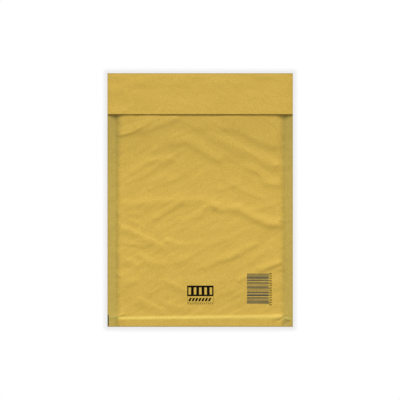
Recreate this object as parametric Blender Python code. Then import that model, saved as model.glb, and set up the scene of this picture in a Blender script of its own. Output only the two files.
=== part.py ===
"""A padded paper mailer that lies on its back, with its flap folded down over the front.

Frame: metres, +Z up. The origin is the bottom centre of the mailer, on the surface it lies on. +Y runs to the
fold of the flap, and +X is on the right of someone who looks down on the front.
"""

import math

import bmesh
import bpy
import numpy as np

# Outline, seen from above
WIDTH = 0.201
LENGTH = 0.275
FLAP_LENGTH = 0.0444

# Heights above the surface, on the padded body and in the middle of the sealed side margins
BODY_HEIGHT = 0.0070
SEAM_LEVEL = 0.0026

# Sheet thicknesses, and the clearance between pieces that touch
PAPER = 0.00016
SEALED_FILM = 0.0002
LINER = 0.00012
ADHESIVE = 0.00015
FIT = 0.0003

# Side margins, and the slopes that rise from them to the padding
LEFT_SEAM = 0.0091
RIGHT_SEAM = 0.0083
LEFT_SLOPE = 0.0055
RIGHT_SLOPE = 0.0080
SLOPE_SHOULDER = 0.85

# Folds at the two ends: how far each one bulges along Y
BOTTOM_BULGE = 0.0006
TOP_BULGE = 0.0006

# The bead along the bottom: its width, how far its upper line tilts, and the dip above it
BEAD_WIDTH = 0.0089
BEAD_TILT = 0.010
DIP_DEPTH = 0.0012
DIP_RISE = 0.0052
DIP_FALL = 0.022

# Lining: room left for the paper's wrinkles, the film's walls and the empty space between them
WRINKLE_ROOM = 0.0009
LINING_WALL = 0.0022
POCKET_HEIGHT = 0.0006
POCKET_INSET = 0.0015
LINING_SETBACK = 0.0065
MOUTH_SETBACK = 0.0040

# Flap: the gap under its sides, how far in from each side it droops, and the lift of its free edge
SIDE_GAP = 0.0012
FLAP_DROOP = 0.0145
FLAP_LIFT = 0.0004
FLAP_CURL = 0.006

# Strip of adhesive across the flap, and the liner that covers it
STRIP_FROM_EDGE = 0.0080
STRIP_WIDTH = 0.020
STRIP_SETBACK = 0.0030
LINER_OVERHANG = 0.0025

# How far below the flap the wrinkles fade out
FLAP_SHELTER = 0.004

# Wrinkles of the front. Each has its height at its left end and at its right end, its half width above and
# below the crest, and the line of the crest.
WRINKLES = (
    (0.0006, 0.0007, 0.0040, 0.0028, ((-0.088, 0.071), (-0.075, 0.073), (-0.065, 0.079), (-0.057, 0.083))),
    (0.0004, 0.0007, 0.0050, 0.0030, ((-0.064, 0.075), (-0.049, 0.081), (-0.027, 0.089))),
    (0.0006, 0.0008, 0.0042, 0.0052, ((-0.079, -0.002), (-0.060, -0.001), (-0.043, 0.002), (-0.027, 0.002),
                                      (-0.011, 0.000), (0.005, -0.002), (0.017, -0.005))),
    (0.0005, 0.0013, 0.0042, 0.0034, ((0.010, -0.008), (0.022, -0.009), (0.038, -0.010), (0.054, -0.015),
                                      (0.067, -0.023), (0.078, -0.027), (0.087, -0.026))),
    (0.0004, 0.0006, 0.0080, 0.0034, ((-0.016, 0.086), (0.005, 0.080), (0.022, 0.076), (0.038, 0.075),
                                      (0.054, 0.070), (0.067, 0.063), (0.078, 0.058))),
    (0.0004, 0.0006, 0.0046, 0.0046, ((0.030, 0.062), (0.044, 0.054), (0.056, 0.047), (0.078, 0.037))),
    (0.0006, 0.0004, 0.0042, 0.0034, ((-0.015, 0.065), (0.006, 0.054), (0.030, 0.041))),
    (0.0004, 0.0004, 0.0038, 0.0038, ((-0.078, 0.024), (-0.054, 0.037), (-0.032, 0.045))),
    (-0.0004, -0.0004, 0.0036, 0.0036, ((-0.078, 0.015), (-0.056, 0.026), (-0.033, 0.038))),
    (0.0004, 0.0004, 0.0036, 0.0036, ((-0.054, 0.015), (-0.025, 0.029), (-0.015, 0.033))),
    (0.0006, 0.0005, 0.0036, 0.0036, ((-0.082, -0.033), (-0.057, -0.044), (-0.040, -0.052))),
    (0.0004, 0.0004, 0.0034, 0.0034, ((-0.080, -0.065), (-0.065, -0.071), (-0.050, -0.072), (-0.037, -0.070))),
    (0.0004, 0.0005, 0.0034, 0.0030, ((-0.022, -0.022), (-0.011, -0.018), (0.009, -0.007))),
    (0.0004, 0.0006, 0.0036, 0.0030, ((0.005, -0.070), (0.033, -0.062), (0.049, -0.053), (0.060, -0.047))),
    (0.0006, 0.0008, 0.0036, 0.0028, ((0.067, -0.075), (0.076, -0.071), (0.086, -0.068))),
    (0.0004, 0.0004, 0.0034, 0.0034, ((-0.035, -0.091), (-0.023, -0.098), (-0.016, -0.100))),
    (0.0004, 0.0004, 0.0032, 0.0032, ((-0.064, -0.108), (-0.056, -0.114), (-0.042, -0.120))),
    (0.0004, 0.0004, 0.0034, 0.0030, ((0.016, -0.106), (0.026, -0.102), (0.035, -0.098))),
    (-0.0004, -0.0004, 0.0036, 0.0036, ((0.067, 0.024), (0.073, 0.015), (0.084, 0.011))),
)

# Sizes of the grid's cells, and the turn of each cell round a fold in degrees
SLOPE_CELL = 0.0014
PANEL_CELL = 0.0052
FRONT_CELL = 0.0046
DIP_CELL = 0.0075
RISE_CELL = 0.0013
BEAD_CELL = 0.0042
STRAIGHT_CELL = 0.0400
CURL_CELL = 0.0020
FOLD_STEP = 30.0
LINING_END_STEP = 30.0

# How close to its tip the rounded end of the lining is cut off, as a share of its bulge
END_CUT = 0.97

# Places that follow from the sizes above
TOP_EDGE = LENGTH / 2
BOTTOM_EDGE = -LENGTH / 2
LEFT_FOOT = -WIDTH / 2 + LEFT_SEAM
RIGHT_FOOT = WIDTH / 2 - RIGHT_SEAM
FLAP_EDGE = TOP_EDGE - FLAP_LENGTH
MOUTH = TOP_EDGE - MOUTH_SETBACK
BEAD_LINE = BOTTOM_EDGE + BEAD_WIDTH
DIP_LOW = BEAD_LINE + DIP_RISE
DIP_END = DIP_LOW + DIP_FALL
LINING_END = BOTTOM_EDGE + PAPER + FIT
SEAM_TOP = SEAM_LEVEL + SEALED_FILM / 2 + FIT + PAPER
SEAM_BOTTOM = SEAM_LEVEL - SEALED_FILM / 2 - FIT - PAPER
FLAP_TOP = BODY_HEIGHT + FIT + LINER + FIT + ADHESIVE + FIT + PAPER
FLAP_SIDE = SEAM_TOP + SIDE_GAP + PAPER


def clear_scene():
    for obj in list(bpy.data.objects):
        bpy.data.objects.remove(obj, do_unlink=True)


def make_material(name, color, roughness):
    material = bpy.data.materials.new(name)
    material.use_nodes = True
    shader = material.node_tree.nodes["Principled BSDF"]
    shader.inputs["Base Color"].default_value = (*color, 1.0)
    shader.inputs["Roughness"].default_value = roughness
    shader.inputs["Metallic"].default_value = 0.0
    return material


def smooth(t):
    """A step from 0 to 1 with level ends."""
    t = np.clip(t, 0.0, 1.0)
    return t * t * (3.0 - 2.0 * t)


def padding(x):
    """The share of the padding's full thickness at x: 0 over the side margins, 1 over the panel."""
    t = np.clip(np.minimum((x - LEFT_FOOT) / LEFT_SLOPE, (RIGHT_FOOT - x) / RIGHT_SLOPE), 0.0, 1.0)
    return np.sin(t * math.pi / 2) ** SLOPE_SHOULDER


def dip(x, y):
    """How far the front sinks above the bead, as a height that is zero or negative."""
    above_bead = y - BEAD_LINE - BEAD_TILT * x
    sunk = smooth(above_bead / DIP_RISE) * (1.0 - smooth((above_bead - DIP_RISE) / DIP_FALL))
    return -DIP_DEPTH * sunk


def nearest_on_line(x, y, line):
    """For each point: its distance to a line of straight runs, the side it is on (1 above, -1 below, between
    past the ends), and how far along the line its nearest place is, from 0 to 1."""
    lengths = [math.dist(a, b) for a, b in zip(line, line[1:])]
    distance = np.full(np.shape(x), np.inf)
    side = np.zeros(np.shape(x))
    share = np.zeros(np.shape(x))
    passed = 0.0
    for (x0, y0), (x1, y1), length in zip(line, line[1:], lengths):
        run_x = (x1 - x0) / length
        run_y = (y1 - y0) / length
        along = np.clip((x - x0) * run_x + (y - y0) * run_y, 0.0, length)
        away = np.hypot(x - x0 - along * run_x, y - y0 - along * run_y)
        across = (y - y0) * run_x - (x - x0) * run_y
        closer = away < distance
        side = np.where(closer, across / np.maximum(away, 1e-9), side)
        share = np.where(closer, (passed + along) / sum(lengths), share)
        distance = np.where(closer, away, distance)
        passed += length
    return distance, np.clip(side, -1.0, 1.0), share


def wrinkles(x, y):
    """The height of all wrinkles, which fade out where the flap lies over them."""
    total = np.zeros(np.shape(x))
    for at_start, at_end, above, below, line in WRINKLES:
        distance, side, share = nearest_on_line(x, y, line)
        half_width = below + (above - below) * (0.5 + 0.5 * side)
        height = at_start + (at_end - at_start) * share
        total += height * np.exp(-0.5 * (distance / half_width) ** 2)
    return total * (1.0 - smooth((y - FLAP_EDGE + FLAP_SHELTER) / FLAP_SHELTER))


def smooth_front(x, y):
    """The height of the front's outer face with no wrinkles."""
    return SEAM_TOP + padding(x) * (BODY_HEIGHT - SEAM_TOP + dip(x, y))


def front(x, y):
    return smooth_front(x, y) + padding(x) * wrinkles(x, y)


def back(x):
    """The height of the back's outer face, flat under the padding and raised under the side margins."""
    return SEAM_BOTTOM * (1.0 - padding(x))


def flap_level(x):
    """The height of the flap's outer face, which droops towards the side margins."""
    from_side = WIDTH / 2 - np.abs(x)
    return FLAP_SIDE + (FLAP_TOP - FLAP_SIDE) * smooth(from_side / FLAP_DROOP)


def flap(x, y):
    """The flap's outer face, with its free edge lifted a little."""
    return flap_level(x) + FLAP_LIFT * smooth((FLAP_EDGE + FLAP_CURL - y) / FLAP_CURL)


def runs(*stretches):
    """Stations along one direction, from stretches of (start, end, size of a cell) that follow each other."""
    stations = []
    for start, end, cell in stretches:
        cells = max(1, round(abs(end - start) / cell))
        stations.append(np.linspace(start, end, cells + 1)[:-1])
    return np.concatenate([*stations, [stretches[-1][1]]])


def slope_stations(width):
    """Places across a slope, from its foot up, close together at the steep foot."""
    cells = max(2, round(width / SLOPE_CELL))
    return width * (np.arange(1, cells) / cells) ** 1.5


def side_stations(panel_cell):
    """The x of each column."""
    left_top = LEFT_FOOT + LEFT_SLOPE
    right_top = RIGHT_FOOT - RIGHT_SLOPE
    return np.concatenate([
        runs((-WIDTH / 2, LEFT_FOOT, PANEL_CELL)),
        LEFT_FOOT + slope_stations(LEFT_SLOPE),
        runs((left_top, right_top, panel_cell)),
        RIGHT_FOOT - slope_stations(RIGHT_SLOPE)[::-1],
        runs((RIGHT_FOOT, WIDTH / 2, PANEL_CELL)),
    ])


def end_stations():
    """The y of the front's rows from the dip down to the start of the bottom fold."""
    return runs(
        (DIP_END, DIP_LOW, DIP_CELL),
        (DIP_LOW, BEAD_LINE, RISE_CELL),
        (BEAD_LINE, BOTTOM_EDGE + BOTTOM_BULGE, BEAD_CELL),
    )


def fold_angles():
    """The angles of a half turn, without its two ends."""
    return np.linspace(0.0, math.pi, round(180.0 / FOLD_STEP) + 1)[1:-1]


def sheet_grid():
    """The sheet's outer face: rows from the mouth down the front, round the back and over the flap."""
    x = side_stations(PANEL_CELL)
    back_z = back(x)
    rows = []

    def add(y, z):
        rows.append((x, np.broadcast_to(y, x.shape), z))

    front_top = runs((MOUTH, FLAP_EDGE, STRAIGHT_CELL), (FLAP_EDGE, DIP_END, FRONT_CELL))
    for y in [*front_top[:-1], *end_stations()]:
        add(y, front(x, np.full_like(x, y)))
    half = (rows[-1][2] - back_z) / 2
    bulge = np.minimum(BOTTOM_BULGE, half)
    for angle in fold_angles():
        add(BOTTOM_EDGE + bulge * (1.0 - math.sin(angle)), back_z + half * (1.0 + math.cos(angle)))
    for y in runs((BOTTOM_EDGE + BOTTOM_BULGE, TOP_EDGE - TOP_BULGE, STRAIGHT_CELL)):
        add(y, back_z)
    half = (flap_level(x) - back_z) / 2
    for angle in fold_angles():
        add(TOP_EDGE - TOP_BULGE * (1.0 - math.sin(angle)), back_z + half * (1.0 - math.cos(angle)))
    curl_start = FLAP_EDGE + FLAP_CURL
    for y in runs((TOP_EDGE - TOP_BULGE, curl_start, STRAIGHT_CELL), (curl_start, FLAP_EDGE, CURL_CELL)):
        add(y, flap(x, np.full_like(x, y)))
    return rows


def add_rows(bm, rows):
    """Adds a grid of vertices, row by row, and the triangles between them, whose faces look up on the front."""
    made = [[bm.verts.new(point) for point in zip(*row)] for row in rows]
    faces = []
    for upper, lower in zip(made, made[1:]):
        for i in range(len(upper) - 1):
            faces.append(bm.faces.new((upper[i], lower[i], lower[i + 1], upper[i + 1])))
    bmesh.ops.triangulate(bm, faces=faces, quad_method="SHORT_EDGE")
    return made


def add_object(name, bm, material):
    mesh = bpy.data.meshes.new(name)
    bm.to_mesh(mesh)
    bm.free()
    mesh.shade_smooth()
    if material:
        mesh.materials.append(material)
    obj = bpy.data.objects.new(name, mesh)
    bpy.context.scene.collection.objects.link(obj)
    return obj


def kraft_sheet(material):
    bm = bmesh.new()
    add_rows(bm, sheet_grid())
    sheet = add_object("kraft_sheet", bm, material)
    paper = sheet.modifiers.new("Paper", "SOLIDIFY")
    paper.thickness = PAPER
    paper.offset = -1.0
    paper.use_even_offset = True
    return sheet


def add_slab(name, x, y, top, bottom, material):
    """A closed solid between two heights over a grid."""
    grid_x, grid_y = np.meshgrid(x, y)
    bm = bmesh.new()
    upper = add_rows(bm, list(zip(grid_x, grid_y, top(grid_x, grid_y))))
    lower = add_rows(bm, list(zip(grid_x, grid_y, bottom(grid_x, grid_y))))
    rims = (
        (upper[0], lower[0]),
        (upper[-1], lower[-1]),
        ([row[0] for row in upper], [row[0] for row in lower]),
        ([row[-1] for row in upper], [row[-1] for row in lower]),
    )
    for above, below in rims:
        for i in range(len(above) - 1):
            bm.faces.new((above[i], above[i + 1], below[i + 1], below[i]))
    bmesh.ops.recalc_face_normals(bm, faces=bm.faces)
    return add_object(name, bm, material)


def lining_limits(x, y):
    """The middle height of the lining, and half its thickness where it isn't rounded off."""
    room = FIT + WRINKLE_ROOM * padding(x)
    top = smooth_front(x, y) - PAPER - room
    bottom = back(x) + PAPER + FIT
    return (top + bottom) / 2, (top - bottom) / 2


def lining_half(x, y):
    """Half the lining's thickness, rounded off at the fold."""
    _, half = lining_limits(x, y)
    from_end = np.clip((y - LINING_END) / BOTTOM_BULGE, 0.0, 1.0)
    round_off = np.sqrt(1.0 - (END_CUT * (1.0 - from_end)) ** 2)
    return SEALED_FILM / 2 + (half - SEALED_FILM / 2) * round_off


def lining_top(x, y):
    return lining_limits(x, y)[0] + lining_half(x, y)


def lining_bottom(x, y):
    return lining_limits(x, y)[0] - lining_half(x, y)


def pocket_top(x, y):
    return lining_limits(x, y)[0] + POCKET_HEIGHT / 2 * padding(x)


def pocket_bottom(x, y):
    return lining_limits(x, y)[0] - POCKET_HEIGHT / 2 * padding(x)


def lining_rows(mouth):
    ease = np.linspace(1.0, 0.0, round(90.0 / LINING_END_STEP) + 1) ** 2
    return np.concatenate([
        runs((mouth, DIP_END, STRAIGHT_CELL))[:-1],
        end_stations()[:-1],
        LINING_END + BOTTOM_BULGE * ease,
    ])


def bubble_lining(material):
    """The folded film: its outer form, with the pocket for the contents cut out of it."""
    mouth = TOP_EDGE - LINING_SETBACK
    x = side_stations(STRAIGHT_CELL)
    lining = add_slab("bubble_lining", x, lining_rows(mouth), lining_top, lining_bottom, material)

    inner = (x > LEFT_FOOT + POCKET_INSET) & (x < RIGHT_FOOT - POCKET_INSET)
    past_mouth = mouth + POCKET_INSET
    fold = LINING_END + LINING_WALL
    rows = np.concatenate([[past_mouth], lining_rows(mouth)])
    rows = np.concatenate([rows[rows > fold + POCKET_INSET], [fold]])
    pocket = add_slab("pocket_cutter", x[inner], rows, pocket_top, pocket_bottom, None)
    pocket.hide_render = True
    pocket.display_type = "WIRE"
    cut = lining.modifiers.new("Pocket", "BOOLEAN")
    cut.operation = "DIFFERENCE"
    cut.solver = "EXACT"
    cut.object = pocket
    return lining


def strip(name, width, depth, thickness, material):
    """A strip across the flap that follows its underside, with its top a given depth below the outer face."""
    y = FLAP_EDGE + STRIP_FROM_EDGE + STRIP_WIDTH / 2
    end = WIDTH / 2 - STRIP_SETBACK
    columns = side_stations(STRAIGHT_CELL)
    x = np.concatenate([[-end], columns[np.abs(columns) < end], [end]])

    def top(x, y):
        return flap_level(x) - depth

    def bottom(x, y):
        return flap_level(x) - depth - thickness

    return add_slab(name, x, (y + width / 2, y - width / 2), top, bottom, material)


def closure(adhesive_material, liner_material):
    """The adhesive on the underside of the flap, and the liner under it."""
    adhesive_depth = PAPER + FIT
    liner_depth = adhesive_depth + ADHESIVE + FIT
    strip("adhesive_strip", STRIP_WIDTH, adhesive_depth, ADHESIVE, adhesive_material)
    strip("release_liner", STRIP_WIDTH + 2 * LINER_OVERHANG, liner_depth, LINER, liner_material)


def build():
    clear_scene()
    kraft_sheet(make_material("gold_kraft", (0.68, 0.45, 0.075), 0.66))
    bubble_lining(make_material("clear_film", (0.80, 0.83, 0.85), 0.25))
    closure(
        make_material("tacky_adhesive", (0.72, 0.62, 0.36), 0.35),
        make_material("siliconed_paper", (0.86, 0.85, 0.80), 0.40),
    )


build()
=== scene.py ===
import math

import bmesh
import bpy
import numpy as np
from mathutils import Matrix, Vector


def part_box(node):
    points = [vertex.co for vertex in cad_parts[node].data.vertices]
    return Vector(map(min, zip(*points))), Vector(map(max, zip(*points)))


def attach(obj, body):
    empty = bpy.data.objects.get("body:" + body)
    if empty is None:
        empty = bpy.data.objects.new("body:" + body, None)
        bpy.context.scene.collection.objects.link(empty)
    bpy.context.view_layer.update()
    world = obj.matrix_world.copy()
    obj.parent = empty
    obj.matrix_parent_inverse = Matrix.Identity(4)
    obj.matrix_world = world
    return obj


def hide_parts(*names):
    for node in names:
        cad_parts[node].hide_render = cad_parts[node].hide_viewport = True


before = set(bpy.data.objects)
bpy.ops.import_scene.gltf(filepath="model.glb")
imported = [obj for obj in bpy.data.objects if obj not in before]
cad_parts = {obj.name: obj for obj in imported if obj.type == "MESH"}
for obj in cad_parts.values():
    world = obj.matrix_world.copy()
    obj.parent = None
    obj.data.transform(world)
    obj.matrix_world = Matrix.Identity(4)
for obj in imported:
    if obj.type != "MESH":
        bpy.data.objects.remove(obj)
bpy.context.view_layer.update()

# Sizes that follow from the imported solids
SHEET_LOW, SHEET_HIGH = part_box("kraft_sheet")
WIDTH = SHEET_HIGH[0] - SHEET_LOW[0]
TOP_EDGE = SHEET_HIGH[1]
BOTTOM_EDGE = SHEET_LOW[1]

# The same driving sizes as the solids
FLAP_LENGTH = 0.0444
BODY_HEIGHT = 0.0070
SEAM_LEVEL = 0.0026
PAPER = 0.00016
SEALED_FILM = 0.0002
LINER = 0.00012
ADHESIVE = 0.00015
FIT = 0.0003
LEFT_SEAM = 0.0091
RIGHT_SEAM = 0.0083
BOTTOM_BULGE = 0.0006
TOP_BULGE = 0.0006
WRINKLE_ROOM = 0.0009
LINING_SETBACK = 0.0065
POCKET_HEIGHT = 0.0006
POCKET_INSET = 0.0015
MOUTH_SETBACK = 0.0040
SIDE_GAP = 0.0012
FLAP_DROOP = 0.0145
FLAP_SHELTER = 0.004
FLAP_CURL = 0.006

# Sizes that differ a little from the solids: the slopes beside the padding, how much wider they are near the
# top and from which y on, the bead, the dip above it, and the lift of the flap's free edge
LEFT_SLOPE = 0.0062
RIGHT_SLOPE = 0.0092
SLOPE_SHOULDER = 0.90
TOP_WIDENING = 0.30
WIDE_FROM = 0.07
BEAD_WIDTH = 0.0085
BEAD_TILT = 0.015
DIP_DEPTH = 0.0015
DIP_RISE = 0.0043
DIP_FALL = 0.042
FLAP_LIFT = 0.0001

FLAP_EDGE = TOP_EDGE - FLAP_LENGTH
MOUTH = TOP_EDGE - MOUTH_SETBACK
BEAD_LINE = BOTTOM_EDGE + BEAD_WIDTH
LINING_END = BOTTOM_EDGE + PAPER + FIT
SEAM_TOP = SEAM_LEVEL + SEALED_FILM / 2 + FIT + PAPER
SEAM_BOTTOM = SEAM_LEVEL - SEALED_FILM / 2 - FIT - PAPER
FLAP_TOP = BODY_HEIGHT + FIT + LINER + FIT + ADHESIVE + FIT + PAPER
FLAP_SIDE = SEAM_TOP + SIDE_GAP + PAPER
LEFT_FOOT = -WIDTH / 2 + LEFT_SEAM
RIGHT_FOOT = WIDTH / 2 - RIGHT_SEAM

# Width of the last cell along a free edge, so that the shading turns over the edge at once
RIM = 0.0002

# Cells of the grids have about these sizes, so that whole cells fill each stretch. Here are the sheet's along
# X: over the margins, on the two slopes and over the panel. A slope's start this far outside its foot.
MARGIN_CELL = 0.0014
LEFT_SLOPE_CELL = 0.0006
RIGHT_SLOPE_CELL = 0.0007
PANEL_CELL = 0.0013
FOOT_LEAD = 0.0006

# The sheet's cells along Y on the front: under the flap, below its edge, over the panel, in the dip, round
# the bead and down to the bottom fold, with the lengths of those zones
SHELTERED_CELL = 0.004
TOP_LEAD = 0.003
TOP_ZONE = 0.028
TOP_CELL = 0.0009
FRONT_CELL = 0.00133
DIP_ZONE = 0.012
DIP_CELL = 0.001
BEAD_LEAD = 0.001
BEAD_CELL = 0.0005
END_CELL = 0.0008

# The same on the back and the flap, and the number of stations round each fold
BACK_CELL = 0.025
FLAP_CELL = 0.0013
FLAP_EDGE_ZONE = 0.008
FLAP_EDGE_CELL = 0.0008
TURN_STATIONS = 15

# Bubbles of the film, close packed, and the film under them. A bubble's round swell is raised by its rise and
# then cut off, which makes its top flat.
BUBBLE_PITCH = 0.0110
BUBBLE_RADIUS = 0.0048
BUBBLE_FILM = 0.0003
BUBBLE_RISE = 1.3

# The lining's rounded end is cut off at this share of its bulge, so that it isn't sharp
END_CUT = 0.97

# Cells of the lining: over its margins, over its bubbles, round its fold and in its pocket
LINING_MARGIN_CELL = 0.004
LINING_CELL = 0.0016
LINING_FOLD_CELL = 0.0003
POCKET_CELL = 0.012

# Points nearer to each other than this are one
SAME_POINT = 1e-7

# Ink: how far it stands off the paper so that no ripple of the paper hides it, and its cells
INK_LIFT = 0.00006
INK_CELL = 0.0011

# Folds and ripples of the front. Each has its height at the left end and at the right end, its half width
# above and below the crest, and the line of the crest. A negative height is a valley.
FOLDS = (
    # Upper left
    (0.00040, 0.00045, 0.0060, 0.0018, ((-0.0885, 0.0702), (-0.0730, 0.0738), (-0.0633, 0.0792),
                                        (-0.0563, 0.0838))),
    (0.00020, 0.00014, 0.0012, 0.0010, ((-0.0895, 0.0696), (-0.0730, 0.0736), (-0.0633, 0.0795))),
    (0.00020, 0.00025, 0.0100, 0.0060, ((-0.0885, 0.0710), (-0.0730, 0.0730), (-0.0570, 0.0770),
                                        (-0.0400, 0.0810))),
    (0.00035, 0.00050, 0.0045, 0.0022, ((-0.0620, 0.0745), (-0.0496, 0.0792), (-0.0399, 0.0826),
                                        (-0.0270, 0.0885))),
    (0.00018, 0.00034, 0.0024, 0.0032, ((-0.0640, 0.0400), (-0.0604, 0.0422), (-0.0460, 0.0438),
                                        (-0.0323, 0.0455))),
    (0.00022, 0.00022, 0.0030, 0.0015, ((-0.0730, 0.0290), (-0.0585, 0.0388), (-0.0517, 0.0415))),
    (0.00024, 0.00024, 0.0032, 0.0015, ((-0.0781, 0.0191), (-0.0691, 0.0231), (-0.0622, 0.0260),
                                        (-0.0482, 0.0340), (-0.0304, 0.0425))),
    (0.00020, 0.00020, 0.0028, 0.0015, ((-0.0552, 0.0176), (-0.0461, 0.0226), (-0.0382, 0.0256))),
    (0.00024, 0.00022, 0.0030, 0.0015, ((-0.0532, 0.0111), (-0.0432, 0.0161), (-0.0342, 0.0201),
                                        (-0.0242, 0.0241), (-0.0162, 0.0291))),
    # Upper right
    (0.00026, 0.00064, 0.0100, 0.0036, ((-0.0050, 0.0800), (0.0057, 0.0788), (0.0192, 0.0762),
                                        (0.0318, 0.0796), (0.0435, 0.0762), (0.0542, 0.0706),
                                        (0.0677, 0.0638), (0.0765, 0.0598))),
    (0.00040, 0.00058, 0.0036, 0.0048, ((0.0120, 0.0690), (0.0240, 0.0645), (0.0318, 0.0610),
                                        (0.0450, 0.0545), (0.0580, 0.0485), (0.0700, 0.0425),
                                        (0.0815, 0.0375))),
    (0.00034, 0.00058, 0.0050, 0.0033, ((-0.0479, 0.0555), (-0.0340, 0.0617), (-0.0146, 0.0640),
                                        (-0.0010, 0.0562), (0.0114, 0.0482), (0.0200, 0.0445))),
    (0.00018, 0.00018, 0.0010, 0.0008, ((0.0790, 0.0368), (0.0840, 0.0382))),
    (0.00022, 0.00022, 0.0030, 0.0016, ((0.0208, 0.0104), (0.0398, 0.0164))),
    (0.00020, 0.00020, 0.0026, 0.0018, ((0.0420, 0.0118), (0.0560, 0.0060), (0.0680, 0.0020))),
    (0.00030, 0.00052, 0.0040, 0.0024, ((0.0520, 0.0350), (0.0640, 0.0290), (0.0720, 0.0180),
                                        (0.0840, 0.0170))),
    # The long fold across the middle, and the ripples under it
    (0.00044, 0.00036, 0.0030, 0.0044, ((-0.0791, -0.0050), (-0.0592, -0.0036), (-0.0461, -0.0018),
                                        (-0.0342, -0.0020), (-0.0242, 0.0002), (-0.0143, -0.0010),
                                        (-0.0003, 0.0000), (0.0092, -0.0036), (0.0148, -0.0063))),
    (0.00056, 0.00088, 0.0042, 0.0031, ((0.0150, -0.0064), (0.0229, -0.0104), (0.0338, -0.0090),
                                        (0.0419, -0.0104), (0.0501, -0.0145), (0.0583, -0.0192),
                                        (0.0719, -0.0254), (0.0854, -0.0270))),
    (0.00026, 0.00028, 0.0030, 0.0016, ((-0.0482, -0.0199), (-0.0382, -0.0139), (-0.0283, -0.0079),
                                        (-0.0193, -0.0030))),
    (0.00024, 0.00034, 0.0030, 0.0016, ((-0.0182, -0.0244), (-0.0102, -0.0204), (-0.0003, -0.0164),
                                        (0.0058, -0.0100))),
    (0.00018, 0.00018, 0.0026, 0.0014, ((-0.0760, -0.0150), (-0.0640, -0.0165))),
    (0.00018, 0.00018, 0.0026, 0.0014, ((-0.0570, -0.0240), (-0.0448, -0.0191))),
    (0.00018, 0.00015, 0.0020, 0.0014, ((-0.0756, -0.0232), (-0.0675, -0.0257))),
    (0.00020, 0.00020, 0.0024, 0.0030, ((0.0600, -0.0110), (0.0700, -0.0070), (0.0800, -0.0050))),
    # Lower left
    (0.00050, 0.00036, 0.0019, 0.0045, ((-0.0831, -0.0309), (-0.0731, -0.0342), (-0.0632, -0.0392),
                                        (-0.0492, -0.0455), (-0.0403, -0.0510))),
    (0.00022, 0.00020, 0.0030, 0.0014, ((-0.0815, -0.0468), (-0.0724, -0.0484), (-0.0622, -0.0502),
                                        (-0.0530, -0.0478))),
    (0.00032, 0.00032, 0.0024, 0.0040, ((-0.0360, -0.0440), (-0.0267, -0.0475), (-0.0153, -0.0492),
                                        (-0.0017, -0.0464))),
    (0.00030, 0.00030, 0.0022, 0.0036, ((-0.0804, -0.0646), (-0.0747, -0.0674), (-0.0678, -0.0702))),
    (0.00028, 0.00034, 0.0024, 0.0040, ((-0.0645, -0.0600), (-0.0565, -0.0660), (-0.0507, -0.0694),
                                        (-0.0405, -0.0684))),
    (0.00026, 0.00030, 0.0030, 0.0016, ((-0.0245, -0.0685), (-0.0131, -0.0628), (-0.0005, -0.0548))),
    (0.00026, 0.00022, 0.0028, 0.0036, ((-0.0804, -0.0888), (-0.0678, -0.0888))),
    (0.00030, 0.00034, 0.0020, 0.0030, ((-0.0360, -0.0885), (-0.0290, -0.0920), (-0.0176, -0.0976))),
    (0.00034, 0.00034, 0.0020, 0.0045, ((-0.0645, -0.1080), (-0.0565, -0.1127), (-0.0440, -0.1192))),
    (0.00026, 0.00026, 0.0022, 0.0040, ((-0.0416, -0.1103), (-0.0290, -0.1158), (-0.0199, -0.1170))),
    (0.00020, 0.00020, 0.0010, 0.0010, ((-0.0894, -0.0826), (-0.0854, -0.0826))),
    # Lower right
    (0.00036, 0.00044, 0.0034, 0.0020, ((0.0060, -0.0733), (0.0203, -0.0660), (0.0326, -0.0630),
                                        (0.0429, -0.0578), (0.0510, -0.0527), (0.0603, -0.0486))),
    (0.00055, 0.00085, 0.0028, 0.0017, ((0.0664, -0.0762), (0.0736, -0.0732), (0.0869, -0.0681))),
    (0.00040, 0.00030, 0.0020, 0.0016, ((0.0429, -0.0875), (0.0501, -0.0836))),
    (0.00024, 0.00022, 0.0030, 0.0018, ((0.0160, -0.1063), (0.0265, -0.1015), (0.0354, -0.0975))),
    (0.00018, 0.00016, 0.0014, 0.0012, ((0.0784, -0.0903), (0.0880, -0.0871))),
    (0.00020, 0.00020, 0.0030, 0.0018, ((0.0050, -0.0520), (0.0180, -0.0460), (0.0300, -0.0420))),
    (0.00016, 0.00020, 0.0030, 0.0016, ((0.0560, -0.0680), (0.0660, -0.0590), (0.0740, -0.0530))),
)

# Sharp creases that also cross the side margins
CREASES = (
    (0.00034, 0.00034, 0.0026, 0.0009, ((-0.0999, -0.1277), (-0.0912, -0.1275))),
    (0.00060, 0.00080, 0.0018, 0.0009, ((-0.0905, -0.1268), (-0.0830, -0.1243))),
    (-0.00060, -0.00060, 0.0008, 0.0008, ((0.0848, -0.1308), (0.0929, -0.1262))),
    (0.00054, 0.00054, 0.0009, 0.0009, ((0.0935, -0.1285), (0.0966, -0.1305))),
    (-0.00054, -0.00054, 0.0008, 0.0008, ((0.0905, -0.1355), (0.0964, -0.1313))),
    (-0.00030, -0.00030, 0.0007, 0.0007, ((0.0685, -0.1236), (0.0722, -0.1132))),
    (0.00050, 0.00050, 0.0014, 0.0009, ((0.0856, -0.0217), (0.0913, -0.0229))),
    (0.00034, 0.00034, 0.0012, 0.0009, ((0.0849, -0.0752), (0.0913, -0.0762))),
    (0.00074, 0.00027, 0.0018, 0.0026, ((0.0810, -0.1268), (0.0870, -0.1267), (0.0935, -0.1262))),
    (0.00020, 0.00060, 0.0018, 0.0026, ((-0.0915, -0.1297), (-0.0850, -0.1297))),
)

# Folds of the flap, in the same form
FLAP_FOLDS = (
    (0.00027, 0.00027, 0.0014, 0.0010, ((-0.0270, 0.0975), (-0.0165, 0.0978))),
)

# The heights of the front's folds are multiplied by this
RELIEF = 1.85

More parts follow.
